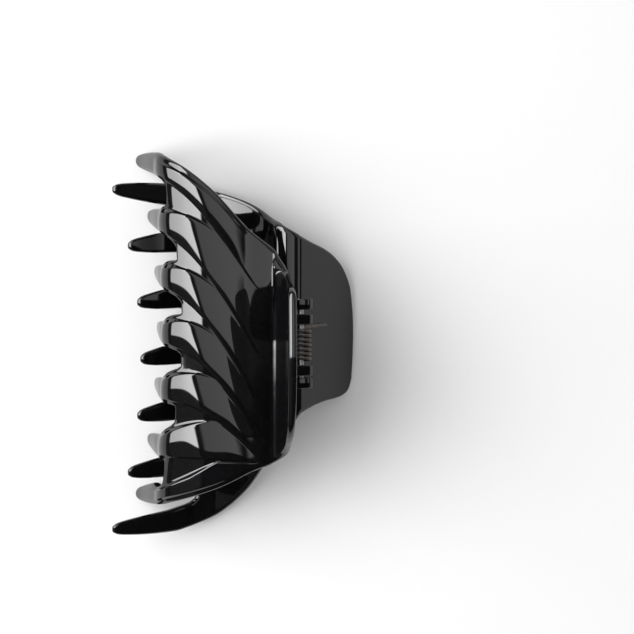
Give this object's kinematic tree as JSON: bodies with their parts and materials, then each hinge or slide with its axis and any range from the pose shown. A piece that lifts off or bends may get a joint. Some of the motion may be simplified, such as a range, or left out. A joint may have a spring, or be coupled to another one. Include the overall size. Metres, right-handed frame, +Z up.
{
  "type": "hair claw clip",
  "caption": "Hinged hair claw clip: two curved jaws with interlocking swept teeth and thumb plates, on one pin, held shut by a torsion spring.",
  "frame": {"origin": "centre of the closed clip's bounding box in plan, on the plane it lies on", "axes": "+Z up from the table the clip lies on, +Y along the hinge pin, +X from the teeth towards the thumb plates"},
  "size_m": [0.06, 0.0946, 0.0473],
  "materials": {
    "jaw_plastic": "polished jet black moulding",
    "pin_steel": "plain drawn rod",
    "spring_steel": "black oxide spring wire"
  },
  "bodies": {
    "back_half": {"back_jaw": "jaw_plastic", "hinge_pin": "pin_steel", "torsion_spring": "spring_steel"},
    "front_half": {"front_jaw": "jaw_plastic"}
  },
  "joints": [
    {"name": "jaw_hinge", "type": "hinge", "parent": "back_half", "child": "front_half", "pos_m": [0.01645, 0, 0.02221], "axis": [0, 1, 0], "range_deg": [0, 147], "stiffness_Nm_per_rad": 0.06, "springref_deg": -100.27, "deforming": ["torsion_spring"]}
  ]
}
